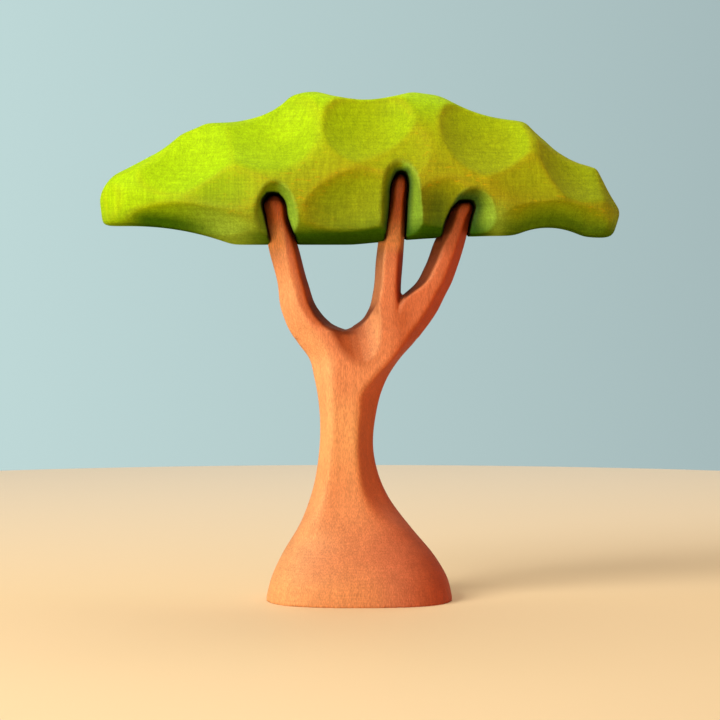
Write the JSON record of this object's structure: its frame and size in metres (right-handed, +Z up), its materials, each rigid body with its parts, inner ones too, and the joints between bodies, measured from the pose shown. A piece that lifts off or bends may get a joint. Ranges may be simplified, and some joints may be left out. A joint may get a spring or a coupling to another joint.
{
  "type": "carved wooden toy acacia tree",
  "caption": "Flat-topped toy tree carved from wood: a stained trunk with a flared foot forks into boughs that carry one broad gouged green crown.",
  "frame": {"origin": "middle of the flat underside of the trunk's foot, on the surface that the tree stands on", "axes": "+Z up the trunk, X along the crown's length, +Y from the carver's front of the tree to its back"},
  "size_m": [0.1518, 0.04, 0.1469],
  "materials": {
    "trunk_wood": "carved limewood, brown water stain, thin wax",
    "crown_wood": "gouged limewood, green water stain, thin wax"
  },
  "bodies": {
    "root": {"trunk": "trunk_wood", "left_bough": "trunk_wood", "middle_bough": "trunk_wood", "right_bough": "trunk_wood", "crown": "crown_wood"}
  },
  "joints": []
}
